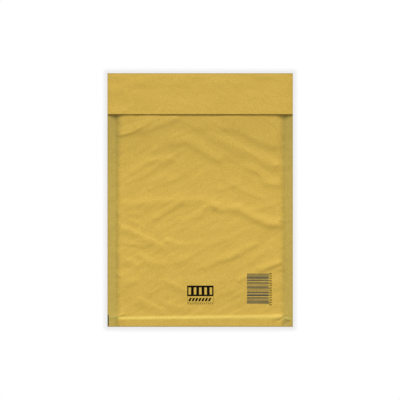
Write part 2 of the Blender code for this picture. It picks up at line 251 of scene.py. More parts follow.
# Ripples along the rows of bubbles: direction in degrees, height, spacing across and length along. The second
# set is the upper right's, which starts this far from the middle and blends in over this length.
RIPPLES = (
    (31.0, 0.00018, 0.0033, 0.018),
    (-33.0, 0.00012, 0.0033, 0.018),
)
UPPER_RIGHT_START = 0.010
UPPER_RIGHT_BLEND = 0.030
FLAP_RIPPLE_SHARE = 0.65

# Layers of each ripple: share of its height, how much finer it is along and across, where it starts in the
# noise along and across, and the noise's seed
RIPPLE_LAYERS = (
    (1.0, 1.0, 1.0, 40, 90, 11),
    (0.35, 1.7, 1.9, 7, 30, 12),
)

# Soft waves: height, length along X and along Y, where they start in the noise, and the noise's seed
PANEL_WAVES = (0.00010, 0.013, 0.010, 20, 21)
FINE_WAVES = (0.00003, 0.003, 0.007, 9, 22)
FLAP_WAVES = (0.00037, 0.018, 0.0080, 3, 31)

# Folds and ripples fade over this length across the bead, down to this share below it
BEAD_FADE = 0.006
BELOW_BEAD = 0.15

# The flap's waves: how far they stand off its plain height on the whole and at most, and how far from the top
# fold they reach their full height
FLAP_RISE = 0.0001
FLAP_ROOM = 0.00045
FLAP_CALM = 0.004

# The border of the padding wanders along the side margins: a wave for each bubble, and slower noise with its
# length and one seed for each side
SCALLOP_WAVE = 0.00015
SCALLOP_NOISE = 0.0004
SCALLOP_LENGTH = 0.009
LEFT_SEED = 3
RIGHT_SEED = 5


def smooth(t):
    """A step from 0 to 1 with level ends."""
    t = np.clip(t, 0.0, 1.0)
    return t * t * (3.0 - 2.0 * t)


def value_noise(x, y, seed):
    """Smooth noise from -1 to 1 with one random value for each unit cell, the same at every run."""
    size = 256
    table = np.random.default_rng(seed).uniform(-1.0, 1.0, (size, size))
    cell_x = np.floor(x).astype(int)
    cell_y = np.floor(y).astype(int)
    tx = smooth(x - cell_x)
    ty = smooth(y - cell_y)

    def corner(dx, dy):
        return table[(cell_x + dx) % size, (cell_y + dy) % size]

    low = corner(0, 0) * (1 - tx) + corner(1, 0) * tx
    high = corner(0, 1) * (1 - tx) + corner(1, 1) * tx
    return low * (1 - ty) + high * ty


def soft_waves(x, y, height, length_x, length_y, start, seed):
    return height * value_noise(x / length_x + start, y / length_y + start, seed)


def scallop(y, seed):
    """How far the border of the padding wanders along a side margin, where the bubbles end."""
    waves = SCALLOP_WAVE * np.sin(2 * math.pi * y / BUBBLE_PITCH + seed)
    return waves + SCALLOP_NOISE * value_noise(y / SCALLOP_LENGTH, np.full(np.shape(y), 0.5), seed)


def slope_share(from_left, from_right):
    """The share of the padding's full thickness at these distances in from the feet of the two slopes."""
    t = np.clip(np.minimum(from_left / LEFT_SLOPE, from_right / RIGHT_SLOPE), 0.0, 1.0)
    return np.sin(t * math.pi / 2) ** SLOPE_SHOULDER


def padding(x, y):
    """The share of the padding's full thickness: 0 over the side margins, 1 over the panel."""
    wider = 1.0 + TOP_WIDENING * smooth(y / WIDE_FROM)
    from_left = x - LEFT_FOOT + scallop(y, LEFT_SEED)
    from_right = RIGHT_FOOT - x + scallop(y, RIGHT_SEED)
    return slope_share(from_left / wider, from_right / wider)


def plain_padding(x):
    """The padding with straight borders, for the back and the lining."""
    return slope_share(x - LEFT_FOOT, RIGHT_FOOT - x)


def dip(x, y):
    """How far the front sinks above the bead, as a height that is zero or negative."""
    above_bead = y - BEAD_LINE - BEAD_TILT * x
    sunk = smooth(above_bead / DIP_RISE) * (1.0 - smooth((above_bead - DIP_RISE) / DIP_FALL))
    return -DIP_DEPTH * sunk


def nearest_on_line(x, y, line):
    """For each point: its distance to a line of straight runs, the side it is on (1 above, -1 below, between
    past the ends), and how far along the line its nearest place is, from 0 to 1."""
    lengths = [math.dist(a, b) for a, b in zip(line, line[1:])]
    distance = np.full(np.shape(x), np.inf)
    side = np.zeros(np.shape(x))
    share = np.zeros(np.shape(x))
    passed = 0.0
    for (x0, y0), (x1, y1), length in zip(line, line[1:], lengths):
        run_x = (x1 - x0) / length
        run_y = (y1 - y0) / length
        along = np.clip((x - x0) * run_x + (y - y0) * run_y, 0.0, length)
        away = np.hypot(x - x0 - along * run_x, y - y0 - along * run_y)
        across = (y - y0) * run_x - (x - x0) * run_y
        closer = away < distance
        side = np.where(closer, across / np.maximum(away, SAME_POINT), side)
        share = np.where(closer, (passed + along) / sum(lengths), share)
        distance = np.where(closer, away, distance)
        passed += length
    return distance, np.clip(side, -1.0, 1.0), share


def relief(x, y, folds):
    """The sum of ridges with a soft round section, whose two flanks may differ in width."""
    total = np.zeros(np.shape(x))
    for at_start, at_end, above, below, line in folds:
        distance, side, share = nearest_on_line(x, y, line)
        half_width = below + (above - below) * (0.5 + 0.5 * side)
        height = at_start + (at_end - at_start) * share
        total += height * np.exp(-0.5 * (distance / half_width) ** 2)
    return total


def ripples(x, y):
    """Fine ripples along the rows of bubbles: one direction at the upper right, the other elsewhere."""
    right = smooth((x + y / 2 - UPPER_RIGHT_START) / UPPER_RIGHT_BLEND)
    upper_right = right * smooth((y + UPPER_RIGHT_START) / UPPER_RIGHT_BLEND)
    total = np.zeros(np.shape(x))
    for (degrees, height, across, along), share in zip(RIPPLES, (1.0 - upper_right, upper_right)):
        angle = math.radians(degrees)
        u = (x * math.cos(angle) + y * math.sin(angle)) / along
        v = (y * math.cos(angle) - x * math.sin(angle)) / across
        for part, finer_along, finer_across, start_u, start_v, seed in RIPPLE_LAYERS:
            noise = value_noise(u * finer_along + start_u, v * finer_across + start_v, seed)
            total += share * height * part * noise
    return total


def under_flap(y):
    """1 under the flap and 0 clear of it."""
    return smooth((y - FLAP_EDGE + FLAP_SHELTER) / FLAP_SHELTER)


def front(x, y):
    """The height of the front's outer face."""
    share = padding(x, y)
    base = SEAM_TOP + share * (BODY_HEIGHT - SEAM_TOP + dip(x, y))
    soft = RELIEF * relief(x, y, FOLDS) + ripples(x, y) + soft_waves(x, y, *PANEL_WAVES)
    above_bead = smooth((y - BEAD_LINE + BEAD_FADE / 2) / BEAD_FADE)
    soft *= share * (BELOW_BEAD + (1.0 - BELOW_BEAD) * above_bead)
    fine = soft_waves(x, y, *FINE_WAVES) + relief(x, y, CREASES)
    return base + (1.0 - under_flap(y)) * (soft + fine)


def back(x):
    """The height of the back's outer face."""
    return SEAM_BOTTOM * (1.0 - plain_padding(x))


def flap(x, y):
    """The height of the flap's outer face, which droops towards the margins and lifts at its free edge."""
    level = FLAP_SIDE + (FLAP_TOP - FLAP_SIDE) * smooth((WIDTH / 2 - np.abs(x)) / FLAP_DROOP)
    waves = soft_waves(x, y, *FLAP_WAVES) + FLAP_RIPPLE_SHARE * ripples(x, y)
    waves += relief(x, y, FLAP_FOLDS) + FLAP_RISE
    waves = FLAP_ROOM * np.tanh(waves / FLAP_ROOM)
    inside = smooth((TOP_EDGE - TOP_BULGE - y) / FLAP_CALM)
    lift = FLAP_LIFT * smooth((FLAP_EDGE + FLAP_CURL - y) / FLAP_CURL) ** 2
    return level + inside * waves + lift


def stations(start, end, cell):
    """Places from start to end, both included, with equal cells of about this size between them."""
    return np.linspace(start, end, max(1, round(abs(end - start) / cell)) + 1)


def chain(*places):
    """Stations through places that follow each other, each with the size of the cells up to the next."""
    stretches = [stations(start, end, cell)[:-1] for (start, cell), (end, _) in zip(places, places[1:])]
    return np.concatenate([*stretches, [places[-1][0]]])


def sheet_columns():
    """The x of each column."""
    return chain(
        (-WIDTH / 2, RIM),
        (-WIDTH / 2 + RIM, MARGIN_CELL),
        (LEFT_FOOT - FOOT_LEAD, LEFT_SLOPE_CELL),
        (LEFT_FOOT + LEFT_SLOPE, PANEL_CELL),
        (RIGHT_FOOT - RIGHT_SLOPE, RIGHT_SLOPE_CELL),
        (RIGHT_FOOT + FOOT_LEAD, MARGIN_CELL),
        (WIDTH / 2 - RIM, RIM),
        (WIDTH / 2, None),
    )


def front_rows():
    """The y of each row of the front, from the mouth down."""
    bead_top = BEAD_LINE + DIP_RISE
    return chain(
        (MOUTH, SHELTERED_CELL),
        (FLAP_EDGE + TOP_LEAD, TOP_CELL),
        (FLAP_EDGE - TOP_ZONE, FRONT_CELL),
        (bead_top + DIP_ZONE, DIP_CELL),
        (bead_top + BEAD_LEAD, BEAD_CELL),
        (BEAD_LINE - BEAD_LEAD, END_CELL),
        (BOTTOM_EDGE + BOTTOM_BULGE, None),
    )


def flap_rows():
    """The y of each row of the flap, from the top fold down."""
    return chain(
        (TOP_EDGE - TOP_BULGE, FLAP_CELL),
        (FLAP_EDGE + FLAP_EDGE_ZONE, FLAP_EDGE_CELL),
        (FLAP_EDGE + RIM, RIM),
        (FLAP_EDGE, None),
    )


def sheet_rows():
    """The sheet's outer face: rows from the mouth down the front, round the back and over the flap."""
    x = sheet_columns()
    rows = []

    def add(y, z):
        rows.append((x, np.broadcast_to(y, x.shape), np.broadcast_to(z, x.shape)))

    for y in front_rows():
        add(y, front(x, np.full_like(x, y)))
    back_z = back(x)
    half = (rows[-1][2] - back_z) / 2
    bulge = np.minimum(BOTTOM_BULGE, half)
    turn = np.linspace(0.0, math.pi, TURN_STATIONS)[1:-1]
    for angle in turn:
        add(BOTTOM_EDGE + bulge * (1.0 - math.sin(angle)), back_z + half * (1.0 + math.cos(angle)))
    for y in stations(BOTTOM_EDGE + BOTTOM_BULGE, TOP_EDGE - TOP_BULGE, BACK_CELL):
        add(y, back_z)
    half = (flap(x, np.full_like(x, TOP_EDGE - TOP_BULGE)) - back_z) / 2
    for angle in turn:
        add(TOP_EDGE - TOP_BULGE * (1.0 - math.sin(angle)), back_z + half * (1.0 - math.cos(angle)))
    for y in flap_rows():
        add(y, flap(x, np.full_like(x, y)))
    return rows


def add_rows(bm, rows):
    """Adds a grid of vertices, row by row, and the faces between them, which look up on the front."""
    made = [[bm.verts.new(point) for point in zip(*row)] for row in rows]
    for upper, lower in zip(made, made[1:]):
        for i in range(len(upper) - 1):
            bm.faces.new((upper[i], lower[i], lower[i + 1], upper[i + 1]))
    return made


def add_object(name, bm, material):
    """Adds the mesh as a piece that rides on the mailer's body."""
    mesh = bpy.data.meshes.new(name)
    bm.to_mesh(mesh)
    bm.free()
    mesh.shade_smooth()
    mesh.materials.append(material)
    obj = bpy.data.objects.new(name, mesh)
    bpy.context.scene.collection.objects.link(obj)
    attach(obj, "root")
    return obj


def thicken(obj, thickness):
    """Makes a closed solid of a sheet whose modelled face is its outer one."""
    solid = obj.modifiers.new("Thickness", "SOLIDIFY")
    solid.thickness = thickness
    solid.offset = -1.0
    solid.use_even_offset = False


def kraft_sheet(material):
    """The one sheet that makes the front, the back and the flap."""
    bm = bmesh.new()
    add_rows(bm, sheet_rows())
    sheet = add_object("folded_kraft_sheet", bm, material)
    thicken(sheet, PAPER)
    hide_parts("kraft_sheet")


# Print: a block with windows over a framed row of slanted strokes and a row of dots
PANEL_LEFT = -0.0141
PANEL_RIGHT = 0.0145
BLOCK_TOP = -0.0928
BLOCK_BOTTOM = -0.1043
WINDOW_COUNT = 5
WINDOW_SHARE = 0.48
WINDOW_TOP = -0.0948
WINDOW_BOTTOM = -0.1026
STROKE_LEFT = -0.0135
STROKE_RIGHT = 0.0112
STROKE_TOP = -0.1061
STROKE_BOTTOM = -0.1098
STROKE_COUNT = 7
STROKE_SHARE = 0.62
STROKE_LEAN = 0.45
FRAME_BOTTOM = -0.1108
FRAME_LINE = 0.0003
DOT_TOP = -0.1118
DOT_BOTTOM = -0.1131
DOT_COUNT = 13
DOT_SHARE = 0.6

# A made-up bar code, counted in modules from its top: the bars of the guards, the starts of its two halves,
# and its symbols, each of them the widths of gap, bar, gap and bar. Its guards reach a little further.
CODE_LEFT = 0.0508
CODE_RIGHT = 0.0744
CODE_TOP = -0.0798
CODE_MODULE = 0.000344
CODE_GUARDS = (0, 2, 46, 48, 92, 94)
CODE_HALVES = (3, 50)
CODE_SYMBOLS = (
    (1, 2, 2, 2), (1, 3, 1, 2), (2, 3, 1, 1), (3, 2, 1, 1), (1, 2, 3, 1), (2, 2, 1, 2),
    (1, 2, 3, 1), (1, 3, 2, 1), (1, 1, 1, 4), (3, 2, 1, 1), (1, 2, 2, 2), (2, 3, 1, 1),
)
GUARD_REACH = 0.0010

# A column of ticks beside the bar code
TICK_LEFT = 0.0750
TICK_RIGHT = 0.0777
TICK_TOP = -0.0785
TICK_BOTTOM = -0.1147
TICK_COUNT = 14
TICK_SHARE = 0.55

# A dark blue-grey mark low on the left edge, and a speck in the paper
MARK_WIDTH = 0.0012
MARK_TOP = -0.1246
MARK_BOTTOM = -0.1366
SPECK = (-0.0450, 0.0868)
SPECK_SIZE = 0.0006


def ink(name, boxes, material, lean=0.0):
    """Thin plates of ink that follow the paper, one for each box of left, right, bottom and top."""
    bm = bmesh.new()
    for left, right, bottom, top in boxes:
        rows = []
        for level in stations(top, bottom, INK_CELL):
            x = stations(left, right, INK_CELL) + lean * (level - bottom)
            y = np.full_like(x, level)
            rows.append((x, y, front(x, y) + INK_LIFT))
        add_rows(bm, rows)
    thicken(add_object(name, bm, material), INK_LIFT / 2)


def spread(left, right, count, filled):
    """The left and right side of each of some equal marks, which fill a share of a line."""
    pitch = (right - left) / count
    gap = pitch * (1.0 - filled) / 2
    return [(left + i * pitch + gap, left + (i + 1) * pitch - gap) for i in range(count)]


def block_boxes():
    """A solid block with a row of windows left open in it."""
    windows = spread(PANEL_LEFT, PANEL_RIGHT, WINDOW_COUNT, WINDOW_SHARE)
    sides = [PANEL_LEFT, *[side for window in windows for side in window], PANEL_RIGHT]
    return [
        (PANEL_LEFT, PANEL_RIGHT, WINDOW_TOP, BLOCK_TOP),
        (PANEL_LEFT, PANEL_RIGHT, BLOCK_BOTTOM, WINDOW_BOTTOM),
        *[(left, right, WINDOW_BOTTOM, WINDOW_TOP) for left, right in zip(sides[::2], sides[1::2])],
    ]


def stroke_boxes():
    strokes = spread(STROKE_LEFT, STROKE_RIGHT, STROKE_COUNT, STROKE_SHARE)
    return [(left, right, STROKE_BOTTOM, STROKE_TOP) for left, right in strokes]


def faint_boxes():
    """A thin frame round the strokes, and a row of dots under it."""
    dots = spread(PANEL_LEFT, PANEL_RIGHT, DOT_COUNT, DOT_SHARE)
    return [
        (PANEL_LEFT, PANEL_LEFT + FRAME_LINE, FRAME_BOTTOM, BLOCK_BOTTOM),
        (PANEL_RIGHT - FRAME_LINE, PANEL_RIGHT, FRAME_BOTTOM, BLOCK_BOTTOM),
        (PANEL_LEFT, PANEL_RIGHT, FRAME_BOTTOM - FRAME_LINE, FRAME_BOTTOM),
        *[(left, right, DOT_BOTTOM, DOT_TOP) for left, right in dots],
    ]


def code_boxes():
    """Bars across a made-up code that runs along Y, between two end guards and a middle one."""
    boxes = []

    def bar(first, width, reach=0.0):
        top = CODE_TOP - first * CODE_MODULE
        boxes.append((CODE_LEFT, CODE_RIGHT + reach, top - width * CODE_MODULE, top))

    for guard in CODE_GUARDS:
        bar(guard, 1, GUARD_REACH)
    half_count = len(CODE_SYMBOLS) // len(CODE_HALVES)
    for index, symbol in enumerate(CODE_SYMBOLS):
        half, place = divmod(index, half_count)
        first = CODE_HALVES[half] + place * sum(symbol)
        for gap, width in zip(symbol[::2], symbol[1::2]):
            bar(first + gap, width)
            first += gap + width
    return boxes


def tick_boxes():
    ticks = spread(TICK_BOTTOM, TICK_TOP, TICK_COUNT, TICK_SHARE)
    return [(TICK_LEFT, TICK_RIGHT, bottom, top) for bottom, top in ticks]


def printing(black, blue_grey, faint):
    """All that is printed on the front, a dark mark low on the left edge, and the speck."""
    ink("printed_block", block_boxes(), black)
    ink("printed_strokes", stroke_boxes(), black, STROKE_LEAN)
    ink("printed_frame_and_dots", faint_boxes(), faint)
    ink("printed_bar_code", code_boxes(), blue_grey)
    ink("printed_ticks", tick_boxes(), faint)
    edge = -WIDTH / 2 + RIM
    ink("dark_edge_mark", [(edge, edge + MARK_WIDTH, MARK_BOTTOM, MARK_TOP)], blue_grey)
    half = SPECK_SIZE / 2
    x, y = SPECK
    ink("paper_speck", [(x - half, x + half, y - half, y + half)], black)


def lining_middle(x, y):
    """The middle height of the lining, and half its thickness, as the solid has them."""
    plain = plain_padding(x)
    top = SEAM_TOP + plain * (BODY_HEIGHT - SEAM_TOP + dip(x, y)) - PAPER - FIT - WRINKLE_ROOM * plain
    bottom = back(x) + PAPER + FIT
    from_end = np.clip((y - LINING_END) / BOTTOM_BULGE, 0.0, 1.0)
    round_off = np.sqrt(1.0 - (END_CUT * (1.0 - from_end)) ** 2)
    half = SEALED_FILM / 2 + ((top - bottom) / 2 - SEALED_FILM / 2) * round_off
    return (top + bottom) / 2, half


def dome(x, y):
    """The height of the bubbles, from 0 on the film between them to 1 on their flat tops."""
    row_pitch = BUBBLE_PITCH * math.sqrt(3) / 2
    nearest = np.full(np.shape(x), np.inf)
    for row_shift in (0, 1):
        row = np.round((y / row_pitch - row_shift) / 2) * 2 + row_shift
        offset = row_shift * BUBBLE_PITCH / 2
        column = np.round((x - offset) / BUBBLE_PITCH)
        away = np.hypot(x - offset - column * BUBBLE_PITCH, y - row * row_pitch)
        nearest = np.minimum(nearest, away)
    swell = np.sqrt(np.clip(1.0 - (nearest / BUBBLE_RADIUS) ** 2, 0.0, 1.0))
    return np.clip(swell * BUBBLE_RISE, 0.0, 1.0)


def lining_face(x, y, direction):
    """The lining's outer face on the front (direction 1) or the back (-1)."""
    middle, half = lining_middle(x, y)
    film = np.minimum(half, POCKET_HEIGHT / 2 + BUBBLE_FILM)
    return middle + direction * (film + (half - film) * dome(x, y))


def pocket_face(x, y, direction):
    """The inside of the front wall (direction 1) or the back wall (-1), which meet at the pocket's edge."""
    middle, _ = lining_middle(x, y)
    past_border = (x > x.min()) & (x < x.max()) & (y > BEAD_LINE)
    return middle + direction * POCKET_HEIGHT / 2 * plain_padding(x) * past_border


def lining_skins(bm, x, y_values, face):
    """The front and back skins of a grid whose heights one function gives."""
    skins = []
    for direction in (1, -1):
        rows = []
        for y in y_values:
            level = np.full_like(x, y)
            rows.append((x, level, face(x, level, direction)))
        skins.append(add_rows(bm, rows))
    return skins


def join(bm, first, second):
    """Faces between two lines of vertices."""
    for i in range(len(first) - 1):
        bm.faces.new((first[i], first[i + 1], second[i + 1], second[i]))


def close_lining(bm, skins, pocket, first, last):
    """Closes the lining along its fold, its sides and its mouth, with the pocket open between two columns."""
    upper, lower = skins
    above, below = pocket
    join(bm, upper[-1], lower[-1])
    for side in (0, -1):
        join(bm, [row[side] for row in upper], [row[side] for row in lower])
    join(bm, upper[0][first:last + 1], above[0])
    join(bm, lower[0][first:last + 1], below[0])
    join(bm, upper[0][:first], lower[0][:first])
    join(bm, upper[0][last + 1:], lower[0][last + 1:])
    for corner, outside in ((first, first - 1), (last, last + 1)):
        border = above[0][corner - first]
        bm.faces.new((upper[0][outside], upper[0][corner], border, lower[0][corner], lower[0][outside]))


def bubble_lining(material):
    """Two walls of bubble film, sealed at both sides and folded at the bottom, round an empty pocket."""
    mouth = TOP_EDGE - LINING_SETBACK
    x = chain(
        (-WIDTH / 2, LINING_MARGIN_CELL),
        (LEFT_FOOT, LINING_CELL),
        (RIGHT_FOOT, LINING_MARGIN_CELL),
        (WIDTH / 2, None),
    )
    y_values = chain(
        (mouth, LINING_CELL),
        (LINING_END + BOTTOM_BULGE, LINING_FOLD_CELL),
        (LINING_END, None),
    )
    inner = np.flatnonzero((x > LEFT_FOOT + POCKET_INSET) & (x < RIGHT_FOOT - POCKET_INSET))
    first, last = inner[0], inner[-1]

    bm = bmesh.new()
    skins = lining_skins(bm, x, y_values, lining_face)
    pocket = lining_skins(bm, x[first:last + 1], stations(mouth, BEAD_LINE, POCKET_CELL), pocket_face)
    close_lining(bm, skins, pocket, first, last)
    bmesh.ops.remove_doubles(bm, verts=bm.verts, dist=SAME_POINT)
    bmesh.ops.recalc_face_normals(bm, faces=bm.faces)
    lining = add_object("bubble_film_lining", bm, material)
    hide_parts("bubble_lining")


class Graph:
    """A short way to write a node tree."""

    def __init__(self, material):
        self.tree = material.node_tree
        self.tree.nodes.clear()

    def node(self, kind, inputs=None, **settings):
        """Adds a node with these settings, and sets or links its inputs."""
        made = self.tree.nodes.new(kind)
        for name, value in settings.items():
            setattr(made, name, value)
        for name, value in (inputs or {}).items():
            if isinstance(value, bpy.types.NodeSocket):
                self.tree.links.new(value, made.inputs[name])
            else:
                made.inputs[name].default_value = value
        return made

    def math(self, operation, first, second=0.0, clamp=False):
        inputs = {0: first, 1: second}
        return self.node("ShaderNodeMath", inputs, operation=operation, use_clamp=clamp).outputs[0]

    def ramp(self, value, low, high, to_low=0.0, to_high=1.0, shape="SMOOTHSTEP"):
        """A step of the value from low to high."""
        inputs = {"Value": value, "From Min": low, "From Max": high, "To Min": to_low, "To Max": to_high}
        return self.node("ShaderNodeMapRange", inputs, interpolation_type=shape).outputs["Result"]

    def between(self, noise, low=0.0, high=1.0):
        """The usual range of a noise, spread from low to high."""
        return self.ramp(noise, NOISE_LOW, NOISE_HIGH, low, high)

    def noise(self, place, scale, detail):
        inputs = {"Vector": place, "Scale": scale, "Detail": detail}
        return self.node("ShaderNodeTexNoise", inputs).outputs["Fac"]

    def grain(self, place, fineness, detail, turn=0.0):
        """Noise that is not equally fine along X, Y and Z."""
        inputs = {"Vector": place, "Rotation": (0.0, 0.0, turn), "Scale": fineness}
        return self.noise(self.node("ShaderNodeMapping", inputs).outputs["Vector"], 1.0, detail)

    def mix(self, share, first, second, blend="MIX"):
        inputs = {0: share, 6: first, 7: second}
        return self.node("ShaderNodeMix", inputs, data_type="RGBA", blend_type=blend).outputs[2]

    def place(self):
        """The place on the object, in metres."""
        return self.node("ShaderNodeTexCoord").outputs["Object"]

    def bump(self, height, strength, distance):
        inputs = {"Height": height, "Strength": strength, "Distance": distance}
        return self.node("ShaderNodeBump", inputs).outputs["Normal"]

    def principled(self, **inputs):
        """Finishes the tree with a Principled shader; an input's name is written with _ for a space."""
        named = {name.replace("_", " "): value for name, value in inputs.items()}
        shader = self.node("ShaderNodeBsdfPrincipled", named)
        self.finish(shader.outputs["BSDF"])

    def finish(self, shader):
        out = self.node("ShaderNodeOutputMaterial")
        self.tree.links.new(shader, out.inputs["Surface"])


def new_material(name):
    material = bpy.data.materials.new(name)
    material.use_nodes = True
    return material, Graph(material)


WHITE = (1.0, 1.0, 1.0, 1.0)

# Most values of a noise lie between these two
NOISE_LOW = 0.3
NOISE_HIGH = 0.7

# Kraft: its colours, the margins' tint of showing film and painted shade, and the painted highlight along the
# bead
KRAFT = (0.672, 0.444, 0.0735, 1.0)
KRAFT_PALE = (0.696, 0.464, 0.079, 1.0)
SEAM_TINT_AND_SHADE = (0.79, 0.865, 1.03, 1.0)
BEAD_HIGHLIGHT = (0.98, 1.08, 1.20, 1.0)

# Its noises: how fine they are per metre, in every direction or along X, Y and Z, their detail, and the turn
# of the mottling about Z in radians
MOTTLE = ((40.0, 110.0, 40.0), 3.0, 0.5)
FIBRE = ((1100.0, 760.0, 1100.0), 4.0)
SPECKLE = (2000.0, 2.0)
SEAM_WANDER = (220.0, 2.0)

# Steps in its tone: the two noise values or places between which each lies, and the tone at both. The step of
# the mottling goes from the first colour to the pale one.
MOTTLE_STEP = (0.35, 0.65)
FIBRE_TONE = (0.2, 0.8, 0.875, 1.125)
SPECKLE_TONE = (0.25, 0.75, -0.04, 0.04)
# Painted shade: the front darkens towards the flap's edge
FLAP_SHADE_TONE = (0.085, 0.0, 0.925, 1.03)
LEFT_TONE = (-0.08, 0.04, 1.01, 1.0)
# Painted shade at the cut side edges and along the top fold
SIDE_EDGE_SHADE = (0.0004, 0.0016, 0.88, 1.0)
TOP_FOLD_SHADE = (0.0004, 0.0012, 0.55, 0.96)
TOP_FOLD_SHADE_END = (0.0012, 0.0030, 1.0, 1.0 / 0.96)

# Painted light: how much paler the flap is made where it droops, against the shade of its slope, and how much
# darker again at its sides
DROOP_PAINTED_LIGHT = 1.03
DROOP_EDGE = 0.06

# The border of the margins' tint and painted shade: how far it wanders, between which distances from the
# margin's foot it fades, onto the slopes' feet, and between which y and by how much it moves in near the flap
WANDER_WIDTH = 0.006
SEAM_FADE = (-0.0060, 0.0010)
SEAM_SHIFT = (0.02, 0.07, 0.0, 0.0014)

# The places above the bead line between which the bead's painted highlight ends, and how much painted shade
# darkens the paper below them
BEAD_HIGHLIGHT_END = (0.0004, -0.0008)
BELOW_BEAD_SHADE = 0.05

# Its roughness from low to high, and the strength and height of its bumps
KRAFT_ROUGHNESS = (0.60, 0.74)
KRAFT_BUMP = (0.30, 0.00005)


def on_flap(g, xyz):
    """1 on the flap and 0 on the rest of the sheet."""
    past_edge = g.math("GREATER_THAN", xyz.outputs["Y"], FLAP_EDGE - RIM)
    return g.math("MULTIPLY", past_edge, g.math("GREATER_THAN", xyz.outputs["Z"], SEAM_LEVEL + FIT))


def margin_tint_and_shade(g, place, xyz):
    """1 over the side margins, where the film is sealed to the paper and shows through it, and which also
    carry painted shade;
    with a soft uneven border that reaches onto the feet of the slopes and lies further in near the flap."""
    wander = g.math("MULTIPLY", g.math("SUBTRACT", g.noise(place, *SEAM_WANDER), 0.5), WANDER_WIDTH)
    beyond_left = g.math("SUBTRACT", LEFT_FOOT, xyz.outputs["X"])
    beyond_right = g.math("SUBTRACT", xyz.outputs["X"], RIGHT_FOOT)
    beyond = g.math("ADD", g.math("MAXIMUM", beyond_left, beyond_right), wander)
    beyond = g.math("ADD", beyond, g.ramp(xyz.outputs["Y"], *SEAM_SHIFT))
    off_flap = g.math("SUBTRACT", 1.0, on_flap(g, xyz))
    return g.math("MULTIPLY", g.ramp(beyond, *SEAM_FADE), off_flap)


def panel_tone(g, xyz):
    """Painted shade darkens the front a little towards the flap; it darkens a little to the right; painted
    light makes the drooping flap paler.
    """
    # Painted shade towards the flap
    down = g.ramp(xyz.outputs["Y"], *FLAP_SHADE_TONE)
    sideways = g.ramp(xyz.outputs["X"], *LEFT_TONE, "LINEAR")
    from_middle = g.math("ABSOLUTE", xyz.outputs["X"])
    half_drooped = WIDTH / 2 - FLAP_DROOP / 2
    # Painted light on the drooping flap, against the shade of its slope
    droop = g.ramp(from_middle, WIDTH / 2 - FLAP_DROOP, half_drooped, 1.0, DROOP_PAINTED_LIGHT)
    edge = g.ramp(from_middle, half_drooped, WIDTH / 2, 0.0, DROOP_EDGE)
    flap_tone = g.math("SUBTRACT", droop, edge)
    front_tone = g.math("MULTIPLY", down, sideways)
    difference = g.math("SUBTRACT", flap_tone, front_tone)
    return g.math("ADD", front_tone, g.math("MULTIPLY", on_flap(g, xyz), difference))


def edge_shade(g, xyz):
    """Painted shade: the cut side edges and the fold at the top are darker."""
    from_side = g.math("SUBTRACT", WIDTH / 2, g.math("ABSOLUTE", xyz.outputs["X"]))
    from_top = g.math("SUBTRACT", TOP_EDGE, xyz.outputs["Y"])
    side = g.ramp(from_side, *SIDE_EDGE_SHADE)
    top = g.math("MULTIPLY", g.ramp(from_top, *TOP_FOLD_SHADE), g.ramp(from_top, *TOP_FOLD_SHADE_END))
    return g.math("MULTIPLY", side, top)


def kraft_material():
    """Gold kraft: fibres, slow mottling, a margin tint partly of painted shade, a painted highlight along the
    bead, painted shade below it.
    """
    material, g = new_material("gold_kraft_paper")
    place = g.place()
    xyz = g.node("ShaderNodeSeparateXYZ", {"Vector": place})
    mottle = g.grain(place, *MOTTLE)
    fibre = g.grain(place, *FIBRE)
    speckle = g.noise(place, *SPECKLE)
    color = g.mix(g.ramp(mottle, *MOTTLE_STEP), KRAFT, KRAFT_PALE)
    tone = g.math("ADD", g.ramp(fibre, *FIBRE_TONE), g.ramp(speckle, *SPECKLE_TONE))
    tone = g.math("MULTIPLY", tone, panel_tone(g, xyz))
    # Painted shade at the side edges and the top fold
    tone = g.math("MULTIPLY", tone, edge_shade(g, xyz))
    above_bead = g.ramp(xyz.outputs["Y"], BEAD_LINE + DIP_RISE, BEAD_LINE + DIP_RISE / 2)
    below_bead = g.ramp(xyz.outputs["Y"], *[BEAD_LINE + above for above in BEAD_HIGHLIGHT_END])
    bead_highlight_share = g.math("SUBTRACT", above_bead, below_bead, clamp=True)
    # Painted shade below the bead
    tone = g.math("MULTIPLY", tone, g.ramp(below_bead, 0.0, 1.0, 1.0, 1.0 - BELOW_BEAD_SHADE, "LINEAR"))
    color = g.mix(1.0, color, tone, "MULTIPLY")
    # The margins' tint: sealed film showing through, and painted shade
    color = g.mix(margin_tint_and_shade(g, place, xyz), color, g.mix(1.0, color, SEAM_TINT_AND_SHADE, "MULTIPLY"))
    # Painted highlight along the bead
    color = g.mix(bead_highlight_share, color, g.mix(1.0, color, BEAD_HIGHLIGHT, "MULTIPLY"))
    g.principled(
        Base_Color=color,
        Roughness=g.between(speckle, *KRAFT_ROUGHNESS),
        Normal=g.bump(fibre, *KRAFT_BUMP),
        Specular_IOR_Level=0.25,
    )
    return material


# Inks: colour, and how much of the paper shows through at most
BLACK_INK = ((0.004, 0.004, 0.004, 1.0), 0.05)
BLUE_GREY_INK = ((0.062, 0.078, 0.078, 1.0), 0.12)
FAINT_INK = ((0.300, 0.200, 0.035, 1.0), 0.20)

# Their noises, gaps, tone, roughness and bumps, in the same forms as the kraft's
INK_FIBRE = (2400.0, 4.0)
INK_PATCHES = (500.0, 2.0)
INK_GAPS = (0.50, 0.75)
INK_TONE = (0.9, 1.12)
INK_ROUGHNESS = (0.6, 0.8)
INK_BUMP = (0.3, 0.00003)


